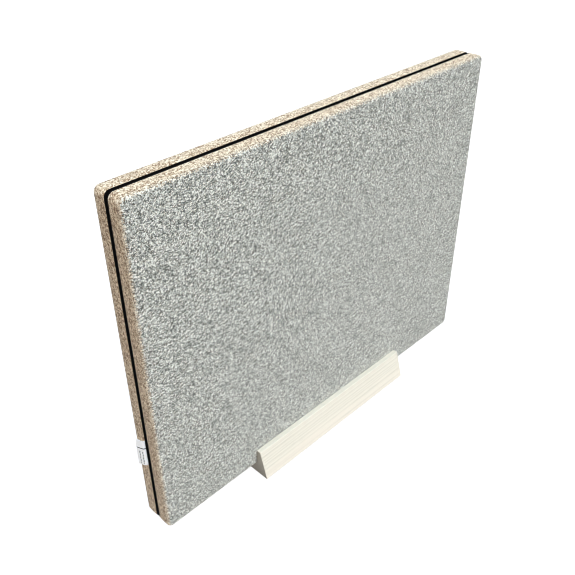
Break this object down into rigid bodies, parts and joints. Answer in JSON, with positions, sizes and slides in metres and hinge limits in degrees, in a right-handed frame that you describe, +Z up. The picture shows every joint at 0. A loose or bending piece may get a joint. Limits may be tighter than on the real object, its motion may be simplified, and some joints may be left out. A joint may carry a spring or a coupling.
{
  "type": "desk privacy panel",
  "caption": "Felt-covered acoustic desk screen with a black accessory track round its edge, standing loose in a slotted wooden foot.",
  "frame": {"origin": "on the desk under the middle of the foot", "axes": "+X along the panel's width, -Y towards the front face, +Z up"},
  "size_m": [0.6554, 0.0924, 0.5183],
  "materials": {
    "washed_wood": "satin",
    "antislip_rubber": "matte",
    "frame_wood": "matte",
    "screw_steel": "satin",
    "fibreboard": "matte",
    "track_black": "matte",
    "screw_black": "satin",
    "absorber_fibre": "matte",
    "wadding_white": "matte",
    "felt_grey": "matte",
    "felt_beige": "matte",
    "label_white": "matte"
  },
  "bodies": {
    "foot": {"foot_block": "washed_wood", "foot_antislip_sheet": "antislip_rubber"},
    "panel": {"frame_left_stile": "frame_wood", "frame_right_stile": "frame_wood", "frame_bottom_rail": "frame_wood", "frame_top_rail": "frame_wood", "frame_screws": "screw_steel", "centre_board": "fibreboard", "track_top": "track_black", "track_bottom": "track_black", "track_left": "track_black", "track_right": "track_black", "track_corner_top_left": "track_black", "track_corner_top_right": "track_black", "track_corner_bottom_left": "track_black", "track_corner_bottom_right": "track_black", "track_screws": "screw_black", "front_absorber": "absorber_fibre", "rear_absorber": "absorber_fibre", "front_wadding": "wadding_white", "rear_wadding": "wadding_white", "front_face_felt": "felt_grey", "rear_face_felt": "felt_grey", "front_edge_felt": "felt_beige", "rear_edge_felt": "felt_beige", "side_label": "label_white"}
  },
  "joints": [
    {"name": "panel_lift", "type": "slide", "parent": "foot", "child": "panel", "axis": [0, 0, 1], "range_m": [0, 0.06]}
  ]
}
